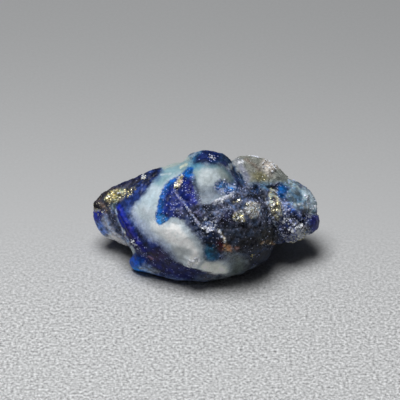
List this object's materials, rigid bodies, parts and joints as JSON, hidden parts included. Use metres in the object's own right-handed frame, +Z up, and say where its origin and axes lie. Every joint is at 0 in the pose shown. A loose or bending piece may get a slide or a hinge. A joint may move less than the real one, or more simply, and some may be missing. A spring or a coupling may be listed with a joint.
{
  "type": "afghanite specimen",
  "caption": "Loose rough afghanite stone, lightly polished, with a white calcite band, a blue tongue, a grey crystal lump and pyrite grains, lying on a small flat spot.",
  "frame": {"origin": "on the floor under the middle of the stone's bounding box", "axes": "+X along the stone from its blunt nose to its granular block, display side towards -Y, +Z up"},
  "size_m": [0.0322, 0.0168, 0.0165],
  "materials": {
    "afghanite": "natural, lightly polished",
    "pyrite": "bright crystal faces"
  },
  "bodies": {
    "root": {"afghanite_stone": "afghanite"}
  },
  "joints": []
}
